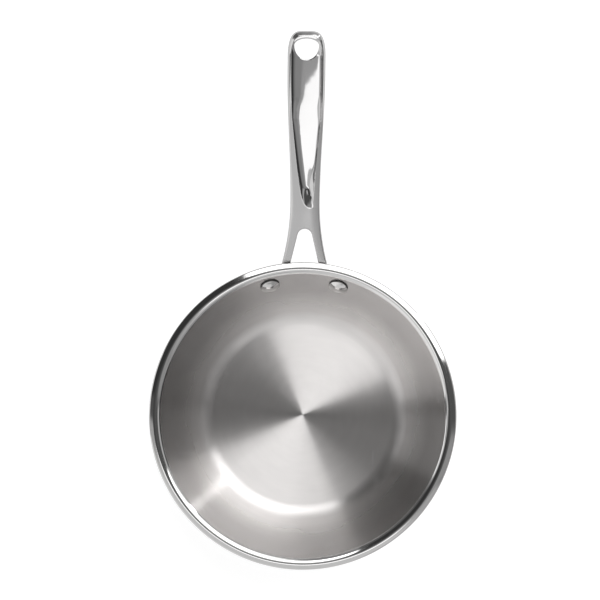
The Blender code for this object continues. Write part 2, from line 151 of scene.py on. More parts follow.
class Skin:
    """Gathers grids of points and single faces, and makes one closed mesh of them."""

    def __init__(self) -> None:
        """Start with no points and no faces."""
        self.points: list[np.ndarray] = []
        self.corners: list[np.ndarray] = []
        self.sizes: list[np.ndarray] = []
        self.zones: list[np.ndarray] = []
        self.count = 0

    def add_faces(self, corners: np.ndarray, zone: np.ndarray | int = 0) -> None:
        """Take in faces of equally many corners.

        Args:
            corners: the corners' numbers, one row for each face.
            zone: finish number of every face, or one for each.
        """
        self.corners.append(corners.ravel())
        self.sizes.append(np.full(len(corners), corners.shape[1]))
        self.zones.append(np.broadcast_to(zone, len(corners)))

    def add_grid(
        self, points: np.ndarray, close_rows: bool = False, zone: np.ndarray | int = 0
    ) -> np.ndarray:
        """Skin a grid of points with four-cornered faces.

        Args:
            points: rows by columns by 3.
            close_rows: joins the last row to the first.
            zone: finish number of every face, or one for each gap between columns.

        Returns:
            The points' numbers, rows by columns.
        """
        numbers = self.count + np.arange(points[..., 0].size).reshape(points.shape[:-1])
        self.points.append(points.reshape(-1, 3))
        self.count += numbers.size
        after = np.roll(numbers, -1, axis=0) if close_rows else numbers[1:]
        here = numbers[: len(after)]
        quads = np.stack((here[:, :-1], here[:, 1:], after[:, 1:], after[:, :-1]), axis=-1)
        self.add_faces(quads.reshape(-1, 4), np.broadcast_to(zone, quads.shape[:2]).ravel())
        return numbers

    def build(self, name: str, materials: list, sharp_angle: float = 40.0) -> bpy.types.Object:
        """Make the object: doubles merged, faces outwards, smooth but for edges past an angle.

        Args:
            name: the piece's name.
            materials: its materials, in the order of Zone.
            sharp_angle: edges bent by more than this many degrees stay sharp.

        Returns:
            The object, at the origin.
        """
        sizes = np.concatenate(self.sizes)
        corners = np.concatenate(self.corners)
        mesh = bpy.data.meshes.new(name)
        mesh.vertices.add(self.count)
        mesh.vertices.foreach_set("co", np.concatenate(self.points).astype(np.float32).ravel())
        mesh.loops.add(len(corners))
        mesh.loops.foreach_set("vertex_index", corners.astype(np.int32))
        mesh.polygons.add(len(sizes))
        mesh.polygons.foreach_set("loop_start", (np.cumsum(sizes) - sizes).astype(np.int32))
        mesh.polygons.foreach_set("material_index", np.concatenate(self.zones).astype(np.int32))
        mesh.update(calc_edges=True)
        whole = bmesh.new()
        whole.from_mesh(mesh)
        bmesh.ops.remove_doubles(whole, verts=whole.verts, dist=MERGE_DISTANCE)
        bmesh.ops.dissolve_degenerate(whole, edges=whole.edges, dist=MERGE_DISTANCE / 2)
        bmesh.ops.recalc_face_normals(whole, faces=whole.faces)
        whole.to_mesh(mesh)
        whole.free()
        mesh.shade_smooth()
        mesh.set_sharp_from_angle(angle=math.radians(sharp_angle))
        for material in materials:
            mesh.materials.append(material)
        piece = bpy.data.objects.new(name, mesh)
        bpy.context.scene.collection.objects.link(piece)
        return piece


def finish_piece(piece: bpy.types.Object, node: str) -> None:
    """Say what a piece stands for, let it ride on the pan and report it.

    Args:
        piece: the finished object.
        node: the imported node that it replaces.
    """
    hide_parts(node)
    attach(piece, "root")
    LOG.info("%s: %d faces, for %s", piece.name, len(piece.data.polygons), node)


# Node trees


class Wiring:
    """Adds nodes to a tree and joins them by short calls."""

    def __init__(self, tree: bpy.types.NodeTree) -> None:
        """Keep the tree that the nodes go into."""
        self.tree = tree

    def join(self, value: object, socket: bpy.types.NodeSocket) -> None:
        """Feed an input.

        Args:
            value: an output to link, or a plain value to set.
            socket: the input.
        """
        if isinstance(value, bpy.types.NodeSocket):
            self.tree.links.new(value, socket)
        else:
            socket.default_value = value

    def add(
        self, kind: str, *values: object, settings: dict | None = None, **inputs: object
    ) -> bpy.types.Node:
        """Add a node.

        Args:
            kind: the node type's name.
            values: values or outputs for its first inputs, in their order.
            settings: its own properties.
            inputs: values or outputs for inputs by name, with _ for a space.

        Returns:
            The node.
        """
        node = self.tree.nodes.new(kind)
        for key, value in (settings or {}).items():
            setattr(node, key, value)
        for value, socket in zip(values, node.inputs):
            self.join(value, socket)
        for key, value in inputs.items():
            self.join(value, node.inputs[key.replace("_", " ")])
        return node

    def math(self, operation: str, *values: object) -> bpy.types.NodeSocket:
        """Result of a Math node."""
        return self.add("ShaderNodeMath", *values, settings={"operation": operation}).outputs[0]

    def vector(self, operation: str, *values: object, **inputs: object) -> bpy.types.NodeSocket:
        """Result of a Vector Math node: its number for a dot product or a length, else its vector."""
        node = self.add("ShaderNodeVectorMath", *values, settings={"operation": operation}, **inputs)
        return node.outputs["Value" if operation in ("DOT_PRODUCT", "LENGTH") else "Vector"]

    def flat(self, place: object) -> bpy.types.NodeSocket:
        """Part of a vector across the turning axis: its z set to 0."""
        return self.vector("MULTIPLY", place, (1.0, 1.0, 0.0))

    def ramp(
        self, value: object, low: float, high: float, start: float = 0.0, end: float = 1.0
    ) -> bpy.types.NodeSocket:
        """Smooth step of a value from start at low to end at high."""
        settings = {"interpolation_type": "SMOOTHSTEP"}
        return self.add("ShaderNodeMapRange", value, low, high, start, end, settings=settings).outputs[0]

    def noise(
        self, place: object, scale: object, detail: float = 2.0, roughness: float = 0.5
    ) -> bpy.types.NodeSocket:
        """Noise from 0 to 1 at a place."""
        inputs = {"Vector": place, "Scale": scale, "Detail": detail, "Roughness": roughness}
        return self.add("ShaderNodeTexNoise", **inputs).outputs["Fac"]


def new_group(name: str, inputs: dict, outputs: tuple) -> tuple:
    """Make an empty node group.

    Args:
        name: the group's name.
        inputs: each input's name with its starting value, or None for a vector.
        outputs: names of the outputs, all numbers.

    Returns:
        The tree, its wiring, its inputs and its outputs by name.
    """
    tree = bpy.data.node_groups.new(name, "ShaderNodeTree")
    for key, value in inputs.items():
        kind = "NodeSocketVector" if value is None else "NodeSocketFloat"
        socket = tree.interface.new_socket(key, in_out="INPUT", socket_type=kind)
        if value is not None:
            socket.default_value = value
    for key in outputs:
        tree.interface.new_socket(key, in_out="OUTPUT", socket_type="NodeSocketFloat")
    make = Wiring(tree)
    return tree, make, make.add("NodeGroupInput").outputs, make.add("NodeGroupOutput").inputs


class FinishEffects:
    """The surface effects that several metals share, each a node group built once."""

    def __init__(self) -> None:
        """Build every group."""
        self.turning = self.build_turning()
        self.handling = self.build_handling()
        self.waviness = self.build_waviness()

    @staticmethod
    def build_turning() -> bpy.types.NodeTree:
        """Marks of abrasive on a spinning piece: noise that changes quickly outwards and slowly round it.

        The noise is read at (radius plus height, cosine and sine of the turn), so each mark is a long arc
        without a seam.

        Returns:
            The group, with the fine lines' height and the broad bands' tone.
        """
        starts = {"Place": None, "Lines": 6000.0, "Arcs": 2.0, "Bands": 160.0}
        tree, make, given, result = new_group("turning_marks", starts, ("Height", "Tone"))
        flat = make.flat(given["Place"])
        height = make.add("ShaderNodeSeparateXYZ", given["Place"]).outputs["Z"]
        along = make.math("ADD", make.vector("LENGTH", flat), height)
        turn = make.vector("SCALE", make.vector("NORMALIZE", flat), Scale=given["Arcs"])
        x, y = make.add("ShaderNodeSeparateXYZ", turn).outputs[:2]
        lines = make.math("MULTIPLY", along, given["Lines"])
        bands = make.math("MULTIPLY", along, given["Bands"])
        fine = make.add("ShaderNodeCombineXYZ", lines, x, y).outputs[0]
        broad = make.add("ShaderNodeCombineXYZ", bands, y, x).outputs[0]
        make.join(make.noise(fine, 1.0, detail=3.0, roughness=0.6), result["Height"])
        make.join(make.noise(broad, 1.0), result["Tone"])
        return tree

    @staticmethod
    def build_handling() -> bpy.types.NodeTree:
        """Marks of use: soft smudges, and sparse hairlines from the peaks of two long-drawn noises.

        Returns:
            The group, with a mask for each.
        """
        smudge_band, hairline_band = (0.42, 0.70), (0.70, 0.76)
        strokes = (((0.2, 0.1, 0.5), (900.0, 26.0, 60.0)), ((0.2, 0.1, 2.1), (1100.0, 20.0, 70.0)))
        starts = {"Place": None, "Smudge Scale": 30.0}
        tree, make, given, result = new_group("handling_marks", starts, ("Smudge", "Hairline"))
        smudge = make.noise(given["Place"], given["Smudge Scale"])
        make.join(make.ramp(smudge, *smudge_band), result["Smudge"])
        lines = []
        for turn, stretch in strokes:
            inputs = {"Vector": given["Place"], "Rotation": turn, "Scale": stretch}
            drawn = make.add("ShaderNodeMapping", **inputs).outputs[0]
            lines.append(make.ramp(make.noise(drawn, 1.0, detail=1.0), *hairline_band))
        make.join(make.math("MAXIMUM", *lines), result["Hairline"])
        return tree

    @staticmethod
    def build_waviness() -> bpy.types.NodeTree:
        """Slow swells that polishing leaves on a casting: smooth noise of a few millimetres.

        Returns:
            The group, with the swells' height.
        """
        tree, make, given, result = new_group("casting_swells", {"Place": None, "Scale": 120.0}, ("Height",))
        make.join(make.noise(given["Place"], given["Scale"], detail=1.0), result["Height"])
        return tree


# Finishes


@dataclass(frozen=True)
class BareMetal:
    """A bare metal finish: colour, base roughness, and how much each effect shows.

    satin_roughness is added up to satin_from and fades out by satin_to; over the same stretch the colour
    falls to a lower tone, painted shade that makes the wall darker than the floor.
    Both are distances from the axis if satin_round is set, and places along the handle if not.
    """

    name: str
    colour: tuple
    roughness: float
    turning_height: float = 0.0
    turning_tone: float = 0.0
    turning_roughness: float = 0.4
    swell_height: float = 0.0
    smudge: float = 0.03
    smudge_tone: float = 0.03
    hairline: float = 0.00002
    anisotropy: float = 0.0
    satin_from: float = 0.0
    satin_to: float = 0.0
    satin_roughness: float = 0.0
    satin_round: bool = False
    # Tone that the colour falls to past satin_to: painted shade on the wall, 1 for none
    wall_painted_shade_tone: float = 1.0

    def build(self, effects: FinishEffects) -> bpy.types.Material:
        """Make the material.

        Args:
            effects: the shared node groups.

        Returns:
            A Principled material with turning marks, swells, smudges and hairlines as set.
        """
        material = bpy.data.materials.new(self.name)
        material.use_nodes = True
        tree = material.node_tree
        make = Wiring(tree)
        shader = tree.nodes["Principled BSDF"].inputs
        place = make.add("ShaderNodeTexCoord").outputs["Object"]
        group = "ShaderNodeGroup"
        marks = make.add(group, place, settings={"node_tree": effects.handling}).outputs
        roughness = make.math("MULTIPLY_ADD", marks["Smudge"], self.smudge, self.roughness)
        height = make.math("MULTIPLY", marks["Hairline"], -self.hairline)
        tone = make.math("MULTIPLY_ADD", marks["Smudge"], -self.smudge_tone, 1.0)
        if self.turning_height or self.turning_tone:
            turning = make.add(group, place, settings={"node_tree": effects.turning}).outputs
            height = make.math("MULTIPLY_ADD", turning["Height"], self.turning_height, height)
            shade = make.math("SUBTRACT", turning["Tone"], 0.5)
            tone = make.math("MULTIPLY_ADD", shade, self.turning_tone, tone)
            rougher = self.turning_tone * self.turning_roughness
            roughness = make.math("MULTIPLY_ADD", shade, rougher, roughness)
        if self.swell_height:
            swells = make.add(group, place, settings={"node_tree": effects.waviness}).outputs
            height = make.math("MULTIPLY_ADD", swells["Height"], self.swell_height, height)
        if self.satin_roughness:
            along = make.add("ShaderNodeSeparateXYZ", place).outputs["Y"]
            if self.satin_round:
                along = make.vector("LENGTH", make.flat(place))
            satin = make.ramp(along, self.satin_from, self.satin_to, self.satin_roughness, 0.0)
            roughness = make.math("ADD", roughness, satin)
            # Painted shade: the colour falls to a lower tone from satin_from to satin_to, so the wall looks
            # darker
            painted_wall_shade = make.ramp(along, self.satin_from, self.satin_to, 1.0, self.wall_painted_shade_tone)
            tone = make.math("MULTIPLY", tone, painted_wall_shade)
        make.join(make.vector("SCALE", self.colour, Scale=tone), shader["Base Color"])
        make.join(roughness, shader["Roughness"])
        shader["Metallic"].default_value = 1.0
        bump = make.add("ShaderNodeBump", Height=height, Strength=1.0, Distance=1.0)
        make.join(bump.outputs[0], shader["Normal"])
        if self.anisotropy:
            shader["Anisotropic"].default_value = self.anisotropy
            make.join(make.flat(place), shader["Tangent"])
        return material


COOKING_STEEL = BareMetal(
    "satin_turned_steel",
    (0.76, 0.74, 0.73),
    0.21,
    turning_height=0.000004,
    turning_tone=0.10,
    anisotropy=1.0,
    satin_from=0.084,
    satin_to=0.106,
    satin_roughness=0.10,
    satin_round=True,
    # Painted shade: the wall's colour is a third darker than the floor's, though the steel is one colour
    wall_painted_shade_tone=0.67,
)
RIM_STEEL = BareMetal("polished_rim_steel", (0.72, 0.715, 0.71), 0.06, hairline=0.000002)
CAST_STEEL = BareMetal(
    "polished_casting",
    (0.62, 0.615, 0.615),
    0.045,
    swell_height=0.000012,
    hairline=0.000002,
    satin_from=0.160,
    satin_to=0.176,
    satin_roughness=0.12,
)
CAP_STEEL = BareMetal(
    "turned_cap_steel", (0.62, 0.61, 0.60), 0.28, turning_height=0.00001, turning_tone=0.15, anisotropy=0.7
)
RIVET_STEEL = BareMetal("polished_rivet_steel", (0.72, 0.71, 0.70), 0.13)
# Painted shade: near-black steel on the rivet heads' skirts, standing for the crevice's shadow and dark
# reflection
RIVET_SKIRT_PAINTED_SHADE = BareMetal("rivet_skirt_painted_shade", (0.12, 0.115, 0.11), 0.45)
ALUMINIUM = BareMetal("pressed_aluminium", (0.80, 0.81, 0.82), 0.38, swell_height=0.000012)


# Pan body and base


@dataclass
class PanBody:
    """Drawn steel body: sizes of its cooking surface and rim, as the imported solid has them."""

    floor_radius: float = 0.0735
    floor_height: float = 0.0062
    knuckle_radius: float = 0.0162
    wall_top_radius: float = 0.1160
    wall_height: float = 0.0472
    floor_dome: float = 0.0005
    thickness: float = 0.0010
    flare_radius: float = 0.0057
    lip_droop: float = math.radians(18.0)
    lip_width: float = 0.0021
    edge_radius: float = 0.0016
    edge_turn: float = math.radians(80.0)
    skirt_length: float = 0.0002
    floor_rings: tuple = (0.0, 0.02, 0.06, 0.15, 0.3, 0.5, 0.7, 0.88, 0.97)
    arc_segments: int = 26
    wall_segments: int = 9
    edge_segments: int = 12
    rounding_segments: int = 8
    steps: int = 384

    @property
    def slope(self) -> float:
        """Angle of the wall above the horizontal."""
        run, rise = self.wall_top_radius - self.floor_radius, self.wall_height - self.knuckle_radius
        return math.atan2(rise, run) + math.asin(self.knuckle_radius / math.hypot(run, rise))

    def wall_point(self, below: float | np.ndarray, depth: float | np.ndarray) -> tuple:
        """Radius and height on the wall, a distance down its slope and a depth behind its inside.

        Args:
            below: distance down from the flare.
            depth: distance behind the cooking surface.

        Returns:
            The radius and the height.
        """
        across, up = direction(self.slope)
        radius = self.wall_top_radius - below * across + depth * up
        return radius, self.floor_height + self.wall_height - below * up - depth * across

    def meridian(self, depth: float) -> np.ndarray:
        """Profile at a depth below the cooking surface: floor, knuckle, wall, flare, lip and edge.

        The inside's floor is a shallow parabola, the wall and the lip are straight, and the knuckle, the
        flare and the edge are arcs that run smoothly into them.

        Args:
            depth: 0 for the inside, the sheet's thickness for the outside.

        Returns:
            (radius, height) points from the axis to the edge.
        """
        slope = self.slope
        lip_facing, edge_facing = QUARTER_TURN - self.lip_droop, QUARTER_TURN - self.edge_turn
        knuckle = (self.floor_radius, self.floor_height + self.knuckle_radius)
        flare = self.wall_point(0.0, 0.0) + self.flare_radius * direction(slope - QUARTER_TURN)
        outward = (self.flare_radius - self.edge_radius) * direction(lip_facing)
        edge = flare + outward + self.lip_width * direction(-self.lip_droop)
        rings = np.array(self.floor_rings)
        dome = 0.0 if depth else self.floor_dome
        rise = self.floor_height - depth + dome * (1.0 - rings**2)
        floor = np.column_stack((self.floor_radius * rings, rise))
        knuckle_radius = self.knuckle_radius + depth
        knuckle_arc = arc(knuckle, knuckle_radius, -QUARTER_TURN, slope - QUARTER_TURN, self.arc_segments)
        flare_radius = self.flare_radius - depth
        flare_arc = arc(flare, flare_radius, QUARTER_TURN + slope, lip_facing, self.arc_segments)
        way = np.linspace(0.0, 1.0, self.wall_segments + 1)[1:-1, None]
        wall = between(knuckle_arc[-1], flare_arc[0], way)
        edge_arc = arc(edge, self.edge_radius - depth, lip_facing, edge_facing, self.edge_segments)
        skirt = edge_arc[-1:] + self.skirt_length * direction(-self.edge_turn)
        return np.concatenate((floor, knuckle_arc, wall, flare_arc, edge_arc, skirt))

    def build(self, satin: bpy.types.Material, polished: bpy.types.Material) -> None:
        """Turn the whole wall and dress it: satin up to the flare, polished from there to the outside.

        Args:
            satin: finish of the cooking surface.
            polished: finish of the rim and the outside.
        """
        inside, outside = self.meridian(0.0), self.meridian(self.thickness)
        middle = (inside[-1] + outside[-1]) / 2
        facing = QUARTER_TURN - self.edge_turn
        rounding = arc(middle, self.thickness / 2, facing, facing - HALF_TURN, self.rounding_segments)[1:-1]
        profile = np.concatenate((inside, rounding, outside[::-1]))
        middles = np.arange(len(profile) - 1) + 0.5
        satin_end = np.argmax(inside[:, 0] >= self.wall_top_radius - MERGE_DISTANCE)
        zone = np.where(middles < satin_end, Zone.MAIN.value, Zone.TRIM.value)
        skin = Skin()
        skin.add_grid(turned(profile, self.steps), close_rows=True, zone=zone)
        finish_piece(skin.build("pan_body_fine", [satin, polished]), "pan_body")


@dataclass
class BaseCap:
    """Dished steel cap under the pan."""

    radius: float = 0.0755
    thickness: float = 0.0006
    corner_radius: float = 0.0030
    height: float = 0.0049
    rings: tuple = (0.94, 0.85, 0.7, 0.5, 0.3, 0.1, 0.03)
    inner_rings_share: float = 0.98
    inner_segments: int = 10
    outer_segments: int = 18
    lip_segments: int = 6
    steps: int = 256

    def build(self, material: bpy.types.Material) -> None:
        """Turn the cap: a flat underside, a round corner, a low wall and the same again inside.

        Args:
            material: its finish.
        """
        centre = (self.radius - self.corner_radius, self.corner_radius)
        inner_radius = self.corner_radius - self.thickness
        inner = arc(centre, inner_radius, -QUARTER_TURN, 0.0, self.inner_segments)
        outer = arc(centre, self.corner_radius, 0.0, -QUARTER_TURN, self.outer_segments)
        half = self.thickness / 2
        lip = arc((self.radius - half, self.height - half), half, HALF_TURN, 0.0, self.lip_segments)
        under = self.radius * np.column_stack((self.rings, np.zeros(len(self.rings))))
        over = under[::-1] * (self.inner_rings_share, 1.0) + (0.0, self.thickness)
        profile = np.concatenate(([(0.0, self.thickness)], over, inner, lip, outer, under, [(0.0, 0.0)]))
        skin = Skin()
        skin.add_grid(turned(profile, self.steps), close_rows=True)
        finish_piece(skin.build("base_cap_fine", [material]), "base_cap")


# Rivets


@dataclass
class Rivets:
    """The two set rivets: their places on the wall and their turned shape."""

    body: PanBody
    spacing: float = 0.0558
    below_flare: float = 0.0107
    shank_radius: float = 0.0030
    head_radius: float = 0.0078
    head_skirt: float = 0.0010
    head_height: float = 0.0030
    head_rounding: float = 0.0004
    head_seat: float = 0.00064
    head_points: int = 20
    rim_turn: float = math.radians(72.0)
    rim_segments: int = 5
    tail_radius: float = 0.0052
    tail_skirt: float = 0.0005
    tail_height: float = 0.0018
    tail_points: int = 12
    plate_thickness: float = 0.0040
    seat_gap: float = 0.0003
    sharp_angle: float = 50.0
    steps: int = 96

    @property
    def azimuth(self) -> float:
        """Angle of the right rivet from the handle's centre line."""
        return math.asin(self.spacing / 2 / self.body.wall_point(self.below_flare, 0.0)[0])

    def seat(self, side: int) -> tuple:
        """Where a rivet sits.

        Args:
            side: -1 for the left rivet, 1 for the right one.

        Returns:
            Its centre on the cooking surface, and its axes across, up the wall and into the bowl.
        """
        turn, slope = side * self.azimuth, self.body.slope
        radius, height = self.body.wall_point(self.below_flare, 0.0)
        radial = np.array([math.sin(turn), math.cos(turn), 0.0])
        tangent = np.array([math.cos(turn), -math.sin(turn), 0.0])
        up = np.array([0.0, 0.0, 1.0])
        inward = math.cos(slope) * up - math.sin(slope) * radial
        return radius * radial + height * up, np.stack((tangent, np.cross(inward, tangent), inward))

    @staticmethod
    def dome(radius: float, height: float, count: int) -> np.ndarray:
        """Profile of a sphere's cap.

        Args:
            radius: its rim's radius.
            height: how far its top rises above its rim.
            count: number of points.

        Returns:
            (radius, rise) points from its rim to its top.
        """
        sphere = (radius**2 + height**2) / (2 * height)
        angle = np.linspace(math.asin(radius / sphere), 0.0, count)
        return np.column_stack((sphere * np.sin(angle), sphere * np.cos(angle) - (sphere - height)))

    def profile(self) -> np.ndarray:
        """Both heads as domes on short skirts, the inner one with a rounded rim, and the shank between.

        Returns:
            (radius, height) points from the inner head's top to the outer head's.
        """
        head_top = self.head_seat + self.head_skirt
        rim_radius = self.head_radius - self.head_rounding
        dome = self.dome(rim_radius, self.head_height - self.head_skirt, self.head_points)[::-1]
        dome = dome + (0.0, head_top)
        rim_centre = (rim_radius, head_top - self.head_rounding)
        rim = arc(rim_centre, self.head_rounding, self.rim_turn, 0.0, self.rim_segments)
        tail = -(self.body.thickness + self.seat_gap + self.plate_thickness + self.seat_gap)
        foot = self.dome(self.tail_radius, self.tail_height - self.tail_skirt, self.tail_points)
        foot = foot * (1.0, -1.0) + (0.0, tail - self.tail_skirt)
        seat = [(self.head_radius, self.head_seat), (self.shank_radius, self.head_seat)]
        neck = [(self.shank_radius, tail), (self.tail_radius, tail)]
        return np.concatenate((dome, rim, seat, neck, foot))

    def build(self, side: int, name: str, node: str, materials: list) -> None:
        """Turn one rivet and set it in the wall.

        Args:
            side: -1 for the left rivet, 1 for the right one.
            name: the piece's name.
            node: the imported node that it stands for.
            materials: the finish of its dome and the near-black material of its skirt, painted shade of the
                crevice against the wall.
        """
        profile = self.profile()
        centre, axes = self.seat(side)
        middle = (profile[:-1] + profile[1:]) / 2
        # Painted shade: the skirt of the head gets the near-black material, in place of the shadow in the
        # crevice against the wall
        painted_shade_skirt = (middle[:, 0] > self.head_radius - self.head_rounding / 2) & (middle[:, 1] > 0.0)
        zone = np.where(painted_shade_skirt, Zone.TRIM.value, Zone.MAIN.value)
        skin = Skin()
        skin.add_grid(centre + turned(profile, self.steps) @ axes, close_rows=True, zone=zone)
        finish_piece(skin.build(name, materials, self.sharp_angle), node)


# Handle


@dataclass
class Handle:
    """Cast handle: a grip with a scooped face and a hanging hole, a forked root and a riveting plate.

    In its formulas u is the distance to the right of the centre line and a is the distance outside the
    pan's rim, along the handle. The grid of each half has rows from its outline to its inner end.
    """

    body: PanBody
    rivets: Rivets
    rim_radius: float = 0.12505
    foot_height: float = 0.0517
    reach: float = 0.1870
    rise: float = math.radians(18.0)
    tip_rise: float = math.radians(6.0)
    grip_width: float = 0.0308
    grip_thickness: float = 0.0098
    grip_full_reach: float = 0.1550
    waist_width: float = 0.0240
    waist_thickness: float = 0.0076
    waist_reach: float = 0.0490
    root_flare_radius: float = 0.1890
    leg_taper: float = 0.12
    nose_length: float = 0.0210
    nose_along: float = 2.2
    nose_across: float = 4.2
    flank_width: float = 0.00275
    flank_tip_width: float = 0.0040
    flank_height: float = 0.0037
    flank_share: float = 0.52
    flank_tip_share: float = 0.80
    underside_power: float = 2.5
    root_crown: float = 0.0026
    crown_reach: float = 0.1100
    crown_fade: float = 0.0250
    point_reach: float = 0.0443
    point_offset: float = 0.0046
    skew_length: float = 0.0070
    seam_fade: float = 0.0300
    opening_length: float = 0.0720
    opening_power: float = 0.31
    runout_length: float = 0.0165
    runout_power: float = 1.25
    runout_blend: float = 0.16
    runout_share: float = 0.90
    deepening_length: float = 0.0500
    scoop_depth: float = 0.0043
    scoop_tip_land: float = 0.0042
    scoop_end_slope: float = 0.11
    scoop_end_level: float = 0.0020
    scoop_end_blend: float = 0.0140
    scoop_wall_slope: float = 0.94
    scoop_crown_gain: float = 1.6
    scoop_powers: tuple = (1.5, 3.0)
    scoop_overshoot: float = 1.5
    tight_from: float = 0.0640
    tight_length: float = 0.0300
    tight_share: float = 0.85
    tight_power: float = 16.0
    hole_half_width: float = 0.0099
    hole_from_tip: float = 0.0116
    hole_tip_side: float = 0.0054
    hole_pan_side: float = 0.0114
    crotch_radius: float = 0.0060
    crotch_reach: float = 0.0215
    fork_spread: float = math.radians(13.5)
    plate_end_radius: float = 0.0088
    plate_rounding: float = 0.0010
    ridge_blend: float = 0.00018
    root_blend: float = 0.0012
    root_blend_fade: float = 0.0400
    gap_rounding: float = 0.0008
    foot_depth: float = 0.0030
    row_gap: float = 0.0006
    first_row_gap: float = 0.00012
    row_gap_growth: float = 1.28
    growing_rows: int = 8
    crotch_segments: int = 21
    hole_foot_segments: int = 29
    hole_end_segments: int = 43
    nose_samples: int = 2000
    flank_columns: int = 12
    land_columns: int = 12
    scoop_columns: int = 26
    under_columns: int = 20
    wall_columns: int = 5
    flank_crowding: float = 1.25
    face_crowding: float = 1.5
    under_crowding: float = 1.7
    plate_end_rows: int = 41
    plate_side_rows: int = 58
    plate_face_columns: int = 8
    sharp_angle: float = 50.0

    def top(self, a: np.ndarray) -> np.ndarray:
        """Height of the upper face's line: its slope falls evenly from the rim to the tip."""
        start, end = math.tan(self.rise), math.tan(self.tip_rise)
        return self.foot_height + start * a + (end - start) * a**2 / (2 * self.reach)

    def grip_share(self, a: np.ndarray) -> np.ndarray:
        """0 at the waist and 1 at the full grip, along half a cosine wave."""
        return half_wave(a, self.waist_reach, self.grip_full_reach - self.waist_reach)

    def nose_share(self, a: np.ndarray, land: float = 0.0) -> np.ndarray:
        """Rounding over the nose, to a land before the tip: (1 - share^along)^(1 / across)."""
        share = share_past(a, self.reach - self.nose_length, self.nose_length - land)
        return (1.0 - share**self.nose_along) ** (1.0 / self.nose_across)

    def nose_turn(self, a: np.ndarray) -> np.ndarray:
        """0 before the nose and 1 at the tip, along half a cosine wave."""
        return half_wave(a, self.reach - self.nose_length, self.nose_length)

    def blank_half_width(self, a: np.ndarray) -> np.ndarray:
        """Half width without the nose: waist, fuller grip, and a root that flares as a circle does."""
        flare = np.maximum(self.waist_reach - a, 0.0) ** 2 / (2 * self.root_flare_radius)
        return between(self.waist_width, self.grip_width, self.grip_share(a)) / 2 + flare

    def half_width(self, a: np.ndarray) -> np.ndarray:
        """Half width with the blunt nose."""
        return self.blank_half_width(a) * self.nose_share(a)

    def thickness(self, a: np.ndarray) -> np.ndarray:
        """Depth of the section before the scoop: waist to grip, thinner under the rim."""
        full = between(self.waist_thickness, self.grip_thickness, self.grip_share(a))
        return full - self.leg_taper * np.maximum(-a, 0.0)

    def flank_span(self, a: np.ndarray) -> np.ndarray:
        """Width of the flank in plan: it grows round the nose."""
        return between(self.flank_width, self.flank_tip_width, self.nose_turn(a))

    def flank(self, left: np.ndarray, a: np.ndarray) -> np.ndarray:
        """Drop of the flank, for the share q of its width left to the ridge: height (s q + (1 - s) q^3)."""
        # Past the ridge q is negative and the face goes on rising; round the nose the share s is larger
        straight = between(self.flank_share, self.flank_tip_share, self.nose_turn(a))
        return self.flank_height * (straight * left + (1.0 - straight) * np.maximum(left, 0.0) ** 3)

    def crown(self, a: np.ndarray) -> np.ndarray:
        """Rise of the face from its edge to its middle: full on the root, none on the grip."""
        return self.root_crown * (1.0 - half_wave(a, self.crown_reach, self.crown_fade))

    def scoop_centre(self, a: np.ndarray) -> np.ndarray:
        """Sideways place of the scoop's middle: skewed only near its point."""
        return self.point_offset / (1.0 + np.maximum(a - self.point_reach, 0.0) / self.skew_length)

    def scoop_half_width(self, a: np.ndarray) -> np.ndarray:
        """Half width of the scoop: the face's, opened from the point by a power and closed by a nose.

        Args:
            a: distances outside the rim.

        Returns:
            The half widths, 0 before the point and past the end.
        """
        opening = share_past(a, self.point_reach, self.opening_length) ** self.opening_power
        face = self.blank_half_width(a) - self.flank_width
        return face * opening * self.nose_share(a, self.scoop_tip_land)

    def scoop_floor(self, a: np.ndarray) -> np.ndarray:
        """Depth of the scoop's middle: a steep run-out, a slow deepening and a slight slope to its end.

        The run-out follows a power of the way and is rounded where it ends. The deepening is a parabola.

        Args:
            a: distances outside the rim.

        Returns:
            The depths.
        """
        steep = (np.maximum(a - self.point_reach, 0.0) / self.runout_length) ** self.runout_power
        steep = soft_min(steep, np.ones_like(steep), self.runout_blend)
        gentle = 1.0 - (1.0 - share_past(a, self.point_reach, self.deepening_length)) ** 2
        full = self.scoop_depth * between(gentle, steep, self.runout_share)
        before_end = np.maximum(self.reach - self.scoop_tip_land - a, 0.0)
        deeper = smooth_step(before_end, self.scoop_end_level, self.scoop_end_blend)
        return between(self.scoop_end_slope * before_end, full, deeper)

    def scoop_drop(self, u: np.ndarray, a: np.ndarray) -> np.ndarray:
        """Depth of the scoop below the face: its floor's times 1 - |share of the half width|^power.

        The power makes the walls meet the face at one slope all along, between two limits. Past the
        run-out the right side changes to a flat bowl that turns up at its edge: with t the tight share,
        (1 - t) share^2 + t share^tight_power.

        Args:
            u: distances to the right.
            a: distances outside the rim.

        Returns:
            The depths, negative outside the scoop.
        """
        off = u - self.scoop_centre(a)
        half = np.maximum(self.scoop_half_width(a), SMALLEST)
        floor = self.scoop_floor(a)
        slope = self.scoop_wall_slope + self.scoop_crown_gain * self.crown(a) / self.blank_half_width(a)
        power = np.clip(slope * half / np.maximum(floor, SMALLEST), *self.scoop_powers)
        share = np.minimum(np.abs(off) / half, self.scoop_overshoot)
        flat_bowl = between(share**2, share**self.tight_power, self.tight_share)
        tight = np.where(off > 0.0, smooth_step(a, self.tight_from, self.tight_length), 0.0)
        return floor * (1.0 - between(share**power, flat_bowl, tight))

    def seam(self, a: np.ndarray) -> np.ndarray:
        """Line where the two halves' grids meet: from the crotch to the scoop's point and along its middle.

        Args:
            a: distances outside the rim.

        Returns:
            The line's distances to the right.
        """
        crotch_top = self.crotch_reach + self.crotch_radius
        root = self.point_offset * smooth_step(a, crotch_top, self.point_reach - crotch_top)
        hole_foot = self.reach - self.hole_from_tip - self.hole_pan_side
        fade = share_past(hole_foot - a, 0.0, self.seam_fade)
        return np.where(a < self.point_reach, root, self.scoop_centre(a) * fade)

    def foot_line(self) -> float:
        """Reach of the legs' hidden ends, at the height of the upper face."""
        return self.body.wall_point(self.rivets.below_flare, 0.0)[0] + self.foot_depth - self.rim_radius

